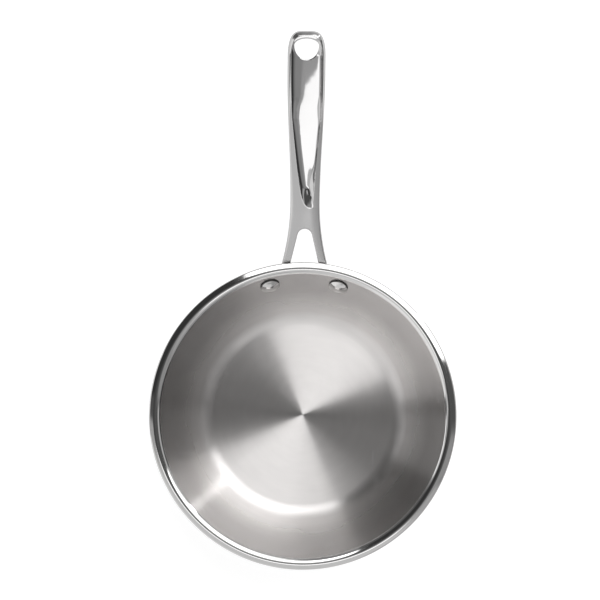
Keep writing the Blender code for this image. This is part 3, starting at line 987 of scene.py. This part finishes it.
    def gap_rows(self) -> dict:
        """Inner ends of the right half's rows. On the seam the gaps between them grow from both its ends.

        Returns:
            Places by stretch: fork with its crotch, seam, and the hole's two quarters.
        """
        centre = (0.0, self.crotch_reach)
        crotch = arc(centre, self.crotch_radius, self.fork_spread, QUARTER_TURN, self.crotch_segments)
        length = crotch[0, 1] - self.foot_line()
        run = np.linspace(-length, 0.0, int(length / self.row_gap) + 1)[:-1]
        side = crotch[0] + run[:, None] * (-math.tan(self.fork_spread), 1.0)
        centre = (0.0, self.reach - self.hole_from_tip)
        radii = (self.hole_half_width, self.hole_pan_side)
        hole_foot = arc(centre, radii, -QUARTER_TURN, 0.0, self.hole_foot_segments)
        radii = (self.hole_half_width, self.hole_tip_side)
        hole_end = arc(centre, radii, 0.0, QUARTER_TURN, self.hole_end_segments)[1:]
        growth = self.row_gap_growth ** np.arange(1, self.growing_rows + 1) - 1.0
        near = self.first_row_gap * growth / (self.row_gap_growth - 1.0)
        first, last = crotch[-1, 1] + near, hole_foot[0, 1] - near[::-1]
        middle = np.linspace(first[-1], last[0], int((last[0] - first[-1]) / self.row_gap) + 1)[1:-1]
        along = np.concatenate((first, middle, last))
        return {
            "fork": np.concatenate((side, crotch)),
            "seam": np.column_stack((self.seam(along), along)),
            "hole_foot": hole_foot,
            "hole_end": hole_end,
        }

    def outline(self, stretches: dict) -> np.ndarray:
        """Outer ends of the right half's rows: level with the inner ends, then evenly round the nose.

        Args:
            stretches: the inner ends.

        Returns:
            The places, one for each row.
        """
        level = np.concatenate([stretches[key][:, 1] for key in ("fork", "seam", "hole_foot")])
        sides = np.column_stack((self.half_width(level), level))
        share = np.sin(np.linspace(0.0, QUARTER_TURN, self.nose_samples)) ** (2 / self.nose_along)
        across = self.blank_half_width(self.reach) * (1.0 - share**self.nose_along) ** (1 / self.nose_across)
        curve = np.column_stack((across, self.reach - self.nose_length * (1.0 - share)))
        curve = curve[curve[:, 1] >= level[-1]]
        length = np.concatenate(([0.0], np.cumsum(np.hypot(*np.diff(curve, axis=0).T))))
        stops = np.linspace(0.0, length[-1], len(stretches["hole_end"]) + 1)[1:]
        nose = np.column_stack([np.interp(stops, length, line) for line in curve.T])
        nose[-1] = (0.0, self.reach)
        return np.concatenate((sides, nose))

    def outside_scoop(self, places: np.ndarray) -> np.ndarray:
        """True for each place that lies outside the scoop's edge."""
        away = np.abs(places[:, :1] - self.scoop_centre(places[:, 1:]))
        return away >= self.scoop_half_width(places[:, 1:])

    def scoop_edge(self, ridge: np.ndarray, inner: np.ndarray) -> np.ndarray:
        """Where each row crosses the scoop's edge, found by halving.

        Args:
            ridge: the rows' places on the ridge.
            inner: their inner ends.

        Returns:
            The places, and the inner end of a row that never crosses it.
        """
        low, high = np.zeros((len(ridge), 1)), np.ones((len(ridge), 1))
        never = self.outside_scoop(between(ridge, inner, high))
        for _ in range(HALVINGS):
            middle = (low + high) / 2
            out = self.outside_scoop(between(ridge, inner, middle))
            low, high = np.where(out, middle, low), np.where(out, high, middle)
        return between(ridge, inner, np.where(never, 1.0, high))

    def plan(self, side: int, stretches: dict) -> tuple:
        """Plan grid of one half: rows from its outline over the ridge and the scoop's edge to the inner end.

        The flank's points lie on the outline's normal, so their inset is exact. Both halves share the
        seam, and all the rest of the left half mirrors the right one.

        Args:
            side: 1 for the right half, -1 for the left one.
            stretches: inner ends of the right half's rows.

        Returns:
            Places (rows by columns by 2), and the share of the flank's width left from each to the ridge,
            negative inside it.
        """
        facing = np.array([side, 1.0])
        inner = np.concatenate([rows if key == "seam" else rows * facing for key, rows in stretches.items()])
        outer = self.outline(stretches)
        tangent = np.gradient(outer, axis=0)
        tangent[-1] = (-1.0, 0.0)
        normal = np.column_stack((-tangent[:, 1], tangent[:, 0])) / np.hypot(*tangent.T)[:, None]
        span = self.flank_span(outer[:, 1:])
        ridge = (outer + span * normal) * facing
        edge = self.scoop_edge(ridge, inner)
        outer, ridge, edge, inner = (line[:, None] for line in (outer * facing, ridge, edge, inner))
        flank = spread(self.flank_columns, self.flank_crowding)[:, None]
        land = spread(self.land_columns, self.face_crowding)[1:, None]
        scoop = spread(self.scoop_columns, self.face_crowding)[1:, None]
        bands = (between(outer, ridge, flank), between(ridge, edge, land), between(edge, inner, scoop))
        places = np.concatenate(bands, axis=1)
        sign = np.where(np.arange(places.shape[1]) <= self.flank_columns, 1.0, -1.0)
        return places, sign * np.linalg.norm(places - ridge, axis=-1) / span

    def gap_distance(self, places: np.ndarray) -> np.ndarray:
        """Distance of each place from the nearer gap, 0 inside it.

        The fork is an arc with straight sides that run into it. The hole is two half ellipses, and the
        distance from one is its equation's value over its slope.

        Args:
            places: places on the handle.

        Returns:
            The distances.
        """
        u, past_crotch = np.abs(places[..., 0]), places[..., 1] - self.crotch_reach
        cosine, sine = direction(self.fork_spread)
        beside_leg = u * sine > past_crotch * cosine
        from_centre = np.where(beside_leg, u * cosine + past_crotch * sine, np.hypot(u, past_crotch))
        fork = from_centre - self.crotch_radius
        past_hole = places[..., 1] - (self.reach - self.hole_from_tip)
        length = np.where(past_hole > 0.0, self.hole_tip_side, self.hole_pan_side)
        shape = np.hypot(u / self.hole_half_width, past_hole / length)
        steep = np.hypot(u / self.hole_half_width**2, past_hole / length**2)
        hole = (shape**2 - 1.0) / np.maximum(2.0 * steep, 1.0)
        return np.maximum(np.minimum(fork, hole), 0.0)

    def gap_drop(self, places: np.ndarray) -> np.ndarray:
        """Drop of a face near a gap: a quarter circle of the gap's rounding."""
        left = np.clip(1.0 - self.gap_distance(places) / self.gap_rounding, 0.0, 1.0)
        return self.gap_rounding * (1.0 - np.sqrt(1.0 - left**2))

    def upper(self, places: np.ndarray, left: np.ndarray) -> np.ndarray:
        """Height of the upper face: the lowest of flank, crowned land and scoop, rounded where they meet.

        Args:
            places: places on the handle.
            left: the share of the flank's width left from each to the ridge.

        Returns:
            The heights.
        """
        u, a = places[..., 0], places[..., 1]
        top = self.top(a)
        land = top - self.crown(a) * (u / self.blank_half_width(a)) ** 2
        scoop = np.where(a > self.point_reach, land - self.scoop_drop(u, a), land + self.ridge_blend)
        face = soft_min(land, scoop, self.ridge_blend)
        past_root = share_past(a, self.point_reach - self.root_blend_fade / 2, self.root_blend_fade)
        blend = between(self.root_blend, self.ridge_blend, past_root)
        return soft_min(face, top - self.flank(left, a), blend)

    def lower(self, places: np.ndarray, inset: np.ndarray) -> np.ndarray:
        """Height of the underside: the outline's less a superellipse of the inset.

        Args:
            places: places on the handle.
            inset: how far inside the outline each lies.

        Returns:
            The heights.
        """
        a = places[..., 1]
        share = np.clip(1.0 - inset / self.blank_half_width(a), 0.0, 1.0)
        fullness = (1.0 - share**self.underside_power) ** (1.0 / self.underside_power)
        return self.top(a) - self.flank_height - (self.thickness(a) - self.flank_height) * fullness

    def to_pan(self, places: np.ndarray, height: np.ndarray) -> np.ndarray:
        """Handle places to the pan's frame; under the rim, lower points lie further in, as the wall leans.

        Args:
            places: places on the handle.
            height: their heights.

        Returns:
            The points.
        """
        a = places[..., 1]
        under = np.clip(a / self.foot_line(), 0.0, 1.0)
        lean = under * (self.top(a) - height) / math.tan(self.body.slope)
        return np.stack((places[..., 0], self.rim_radius + a - lean, height), axis=-1)

    def add_half(self, skin: Skin, side: int, stretches: dict) -> None:
        """Skin one half: upper face, underside, the walls of fork and hole, and the leg's hidden end.

        Args:
            skin: takes in the grids.
            side: 1 for the right half, -1 for the left one.
            stretches: inner ends of the right half's rows.
        """
        places, left = self.plan(side, stretches)
        top = self.upper(places, left) - self.gap_drop(places)
        top[:, 0] = self.top(places[:, 0, 1]) - self.flank_height
        upper = skin.add_grid(self.to_pan(places, top))
        outer = places[:, :1]
        normal = places[:, 1:2] - outer
        normal = normal / np.linalg.norm(normal, axis=-1, keepdims=True)
        under = between(outer, places[:, -1:], spread(self.under_columns, self.under_crowding)[:, None])
        inset = np.sum((under - outer) * normal, axis=-1)
        bottom = self.lower(under, inset) + self.gap_drop(under)
        lower = skin.add_grid(self.to_pan(under, bottom))
        fork_rows = len(stretches["fork"])
        hole_rows = len(stretches["hole_foot"]) + len(stretches["hole_end"])
        fall = np.linspace(0.0, 1.0, self.wall_columns + 1)
        for rows in (slice(0, fork_rows), slice(len(places) - hole_rows, len(places))):
            heights = between(top[rows, -1:], bottom[rows, -1:], fall)
            at = np.broadcast_to(places[rows, -1:], (*heights.shape, 2))
            wall = skin.add_grid(self.to_pan(at, heights))
            if rows.start == 0:
                end = np.concatenate((upper[0], wall[0, 1:-1], lower[0, ::-1]))
                skin.add_faces(end[None, :-1])

    def plate(self) -> np.ndarray:
        """Riveting plate, wrapped on the wall: all that lies within the end radius of the rivets' line.

        Rows go round the outline, and columns run from the middle line over the outer face, round the
        edge and back over the inner face.

        Returns:
            The grid of points.
        """
        radius = self.body.wall_point(self.rivets.below_flare, self.body.thickness)[0]
        half = self.rivets.azimuth * radius
        turn = np.linspace(-QUARTER_TURN, QUARTER_TURN, self.plate_end_rows)
        end = np.column_stack((np.full(len(turn), half), np.cos(turn), np.sin(turn)))
        run = np.linspace(half, -half, self.plate_side_rows + 2)[1:-1]
        straight = np.column_stack((run, np.zeros(len(run)), np.ones(len(run))))
        half_way = np.concatenate((end, straight))
        around = np.concatenate((half_way, -half_way))
        inside = self.body.thickness + self.rivets.seat_gap
        outside = inside + self.rivets.plate_thickness
        flat = self.plate_end_radius - self.plate_rounding
        columns = self.plate_face_columns
        corner = arc((flat, outside - self.plate_rounding), self.plate_rounding, QUARTER_TURN, 0.0, columns)
        over = np.column_stack((np.linspace(0.0, flat, columns), np.full(columns, outside)))[:-1]
        under = np.column_stack((np.linspace(self.plate_end_radius, 0.0, columns), np.full(columns, inside)))
        profile = np.concatenate((over, corner, under))
        azimuth = (around[:, :1] + around[:, 1:2] * profile[:, 0]) / radius
        below = self.rivets.below_flare + around[:, 2:] * profile[:, 0]
        at_radius, height = self.body.wall_point(below, profile[:, 1])
        return np.stack((at_radius * np.sin(azimuth), at_radius * np.cos(azimuth), height), axis=-1)

    def build(self, material: bpy.types.Material) -> None:
        """Skin both halves and the plate as one casting.

        Args:
            material: its finish.
        """
        skin = Skin()
        stretches = self.gap_rows()
        self.add_half(skin, 1, stretches)
        self.add_half(skin, -1, stretches)
        skin.add_grid(self.plate(), close_rows=True)
        finish_piece(skin.build("handle_fine", [material], self.sharp_angle), "handle")


# Studio


@dataclass(frozen=True)
class Edge:
    """Straight edge of a panel in the sky: light lies past a distance along a heading, blurred.

    Heading is the angle from +X towards +Y, and distances are parts of a direction's horizontal share.
    """

    heading: float
    distance: float
    blur: float = 0.04


@dataclass(frozen=True)
class Panel:
    """Panel of light in the sky, bounded by edges and by how far from straight up it starts and ends."""

    luminance: float
    edges: tuple
    inner: float = 0.0
    outer: float = 2.0


WEDGE = (Edge(109.0, 0.02), Edge(25.0, 0.02))


@dataclass
class Studio:
    """Plain studio: a world of soft panels, each over those before it, a pale floor and a camera above."""

    base_luminance: float = 0.10
    panel_blur: float = 0.06
    floor_size: float = 60.0
    floor_shadow: float = 0.35
    floor_glow: float = 0.58
    panels: tuple = (
        Panel(0.04, (Edge(208.0, 0.0), Edge(85.0, 0.0), Edge(146.5, 0.15, 0.10))),
        Panel(0.14, (Edge(120.0, 0.76, 0.12),), inner=0.86),
        Panel(0.30, (Edge(245.0, 0.0, 0.20), Edge(88.0, 0.0, 0.20)), inner=0.80),
        Panel(0.36, (Edge(180.0, -0.64, 0.58), Edge(-90.0, 0.08, 0.10))),
        Panel(0.32, (Edge(0.0, 0.60, 0.05), Edge(-90.0, 0.24, 0.05))),
        Panel(
            0.34,
            (
                Edge(0.0, 0.30, 0.10),
                Edge(180.0, -0.90, 0.30),
                Edge(102.0, -0.3875, 0.03),
                Edge(-90.0, 0.10, 0.06),
            ),
        ),
        Panel(0.46, (Edge(-102.4, 0.18, 0.05),)),
        Panel(0.70, (Edge(-102.4, 0.36, 0.20),)),
        Panel(0.36, (Edge(-100.0, 0.05, 0.20),), inner=0.82),
        Panel(1.00, (Edge(215.0, 0.60, 0.50),), inner=0.74),
        Panel(0.75, (Edge(-25.0, 0.0, 0.20), Edge(203.0, 0.0, 0.25)), inner=0.90),
        Panel(0.07, (Edge(180.0, 0.12, 0.08), Edge(90.0, -0.19, 0.04), Edge(-90.0, -0.10, 0.10)), outer=0.54),
        Panel(0.20, (Edge(180.0, 0.60, 0.10), Edge(90.0, -0.16, 0.05), Edge(-90.0, -0.12, 0.05)), inner=0.84),
        Panel(1.10, (Edge(247.0, 0.0, 0.06), Edge(92.0, 0.0, 0.08)), inner=0.93),
        Panel(0.50, (Edge(90.0, -0.08, 0.06), Edge(0.0, 0.50, 0.10)), inner=0.70, outer=0.95),
        Panel(0.86, WEDGE, inner=0.10, outer=0.74),
        Panel(3.45, WEDGE, inner=0.38, outer=0.74),
        Panel(0.50, WEDGE, inner=0.74),
        Panel(2.00, (Edge(122.0, 0.0, 0.40), Edge(-7.0, 0.0, 0.70)), inner=0.74, outer=0.95),
        Panel(0.28, (Edge(178.0, 0.0, 0.30), Edge(25.0, 0.02)), inner=0.73),
        Panel(6.00, (Edge(129.5, -0.03, 0.02), Edge(-50.5, -0.03, 0.02), Edge(39.5, 0.0)), inner=0.86),
        Panel(
            1.60,
            (
                Edge(0.0, -0.55, 0.04),
                Edge(180.0, -0.33, 0.03),
                Edge(90.0, -0.445, 0.02),
                Edge(70.0, -0.418, 0.02),
                Edge(-102.1, 0.251, 0.012),
            ),
            outer=0.56,
        ),
        Panel(0.05, (Edge(-7.0, 0.95, 0.03),)),
    )
    camera_height: float = 3.756
    camera_range: float = 100.0
    camera_lens: float = 272.4
    camera_place: tuple = (-0.00328, 0.09459)
    camera_roll: float = math.radians(0.6)

    def build_world(self) -> None:
        """Paint the panels over the base light by the direction's horizontal part; the camera sees white."""
        world = bpy.data.worlds.new("studio")
        bpy.context.scene.world = world
        world.use_nodes = True
        make = Wiring(world.node_tree)
        look = make.add("ShaderNodeTexCoord").outputs["Generated"]
        reach = make.vector("LENGTH", make.flat(look))
        half = self.panel_blur / 2
        light = self.base_luminance
        for panel in self.panels:
            begun = make.ramp(reach, panel.inner - half, panel.inner + half)
            ended = make.ramp(reach, panel.outer - half, panel.outer + half, 1.0, 0.0)
            mask = make.math("MULTIPLY", begun, ended)
            for edge in panel.edges:
                along = make.vector("DOT_PRODUCT", look, (*direction(math.radians(edge.heading)), 0.0))
                past = make.ramp(along, edge.distance - edge.blur / 2, edge.distance + edge.blur / 2)
                mask = make.math("MULTIPLY", past, mask)
            light = make.math("MULTIPLY_ADD", mask, make.math("SUBTRACT", panel.luminance, light), light)
        camera_ray = make.add("ShaderNodeLightPath").outputs["Is Camera Ray"]
        shown = make.math("MULTIPLY_ADD", camera_ray, make.math("SUBTRACT", 1.0, light), light)
        background = world.node_tree.nodes["Background"].inputs
        make.join(shown, background["Strength"])
        make.join((1.0, 1.0, 1.0, 1.0), background["Color"])

    def build_floor(self) -> None:
        """Pale floor: it glows for camera, glossy and transmission rays and takes the pan's shadow.

        From below the camera looks through it.
        """
        material = bpy.data.materials.new("pale_floor")
        material.use_nodes = True
        tree = material.node_tree
        tree.nodes.remove(tree.nodes["Principled BSDF"])
        make = Wiring(tree)
        path = make.add("ShaderNodeLightPath").outputs
        camera = make.math("MULTIPLY", path["Is Camera Ray"], 1.0 - self.floor_shadow / 2)
        mirrored = make.math("MAXIMUM", path["Is Glossy Ray"], path["Is Transmission Ray"])
        glow = make.math("MULTIPLY_ADD", mirrored, self.floor_glow, camera)
        grey = (self.floor_shadow, self.floor_shadow, self.floor_shadow, 1.0)
        matt = make.add("ShaderNodeBsdfDiffuse", Color=grey).outputs[0]
        shine = make.add("ShaderNodeEmission", Strength=glow).outputs[0]
        both = make.add("ShaderNodeAddShader", matt, shine).outputs[0]
        from_below = make.add("ShaderNodeNewGeometry").outputs["Backfacing"]
        hidden = make.math("MULTIPLY", from_below, path["Is Camera Ray"])
        clear = make.add("ShaderNodeBsdfTransparent").outputs[0]
        pick = make.add("ShaderNodeMixShader", hidden, both, clear).outputs[0]
        make.join(pick, tree.nodes["Material Output"].inputs["Surface"])
        sides = (-self.floor_size / 2, self.floor_size / 2)
        skin = Skin()
        skin.add_grid(np.array([[(x, y, 0.0) for x in sides] for y in sides]))
        skin.build("floor", [material])

    def build_camera(self) -> None:
        """Long lens straight above, rolled a little, as the photograph was taken."""
        data = bpy.data.cameras.new("camera")
        data.lens = self.camera_lens
        data.clip_end = self.camera_range
        camera = bpy.data.objects.new("camera", data)
        camera.location = (*self.camera_place, self.camera_height)
        camera.rotation_euler = (0.0, 0.0, self.camera_roll)
        bpy.context.scene.collection.objects.link(camera)
        bpy.context.scene.camera = camera


def main() -> None:
    """Build the studio, then the pan's pieces in order."""
    logging.basicConfig(level=logging.INFO, format="%(name)s %(message)s")
    bpy.context.scene.view_settings.view_transform = "Standard"
    studio = Studio()
    studio.build_camera()
    studio.build_world()
    studio.build_floor()
    effects = FinishEffects()
    body = PanBody()
    rivets = Rivets(body)
    body.build(COOKING_STEEL.build(effects), RIM_STEEL.build(effects))
    BaseCap().build(CAP_STEEL.build(effects))
    # The second material is painted shade for the rivet heads' skirts
    rivet_finish_and_painted_shade = [RIVET_STEEL.build(effects), RIVET_SKIRT_PAINTED_SHADE.build(effects)]
    rivets.build(-1, "rivet_left_fine", "rivet_left", rivet_finish_and_painted_shade)
    rivets.build(1, "rivet_right_fine", "rivet_right", rivet_finish_and_painted_shade)
    Handle(body, rivets).build(CAST_STEEL.build(effects))
    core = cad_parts["base_core"]
    core.data.materials.clear()
    core.data.materials.append(ALUMINIUM.build(effects))
    LOG.info("%s: dressed as packed", core.name)


if __name__ == "__main__":
    main()
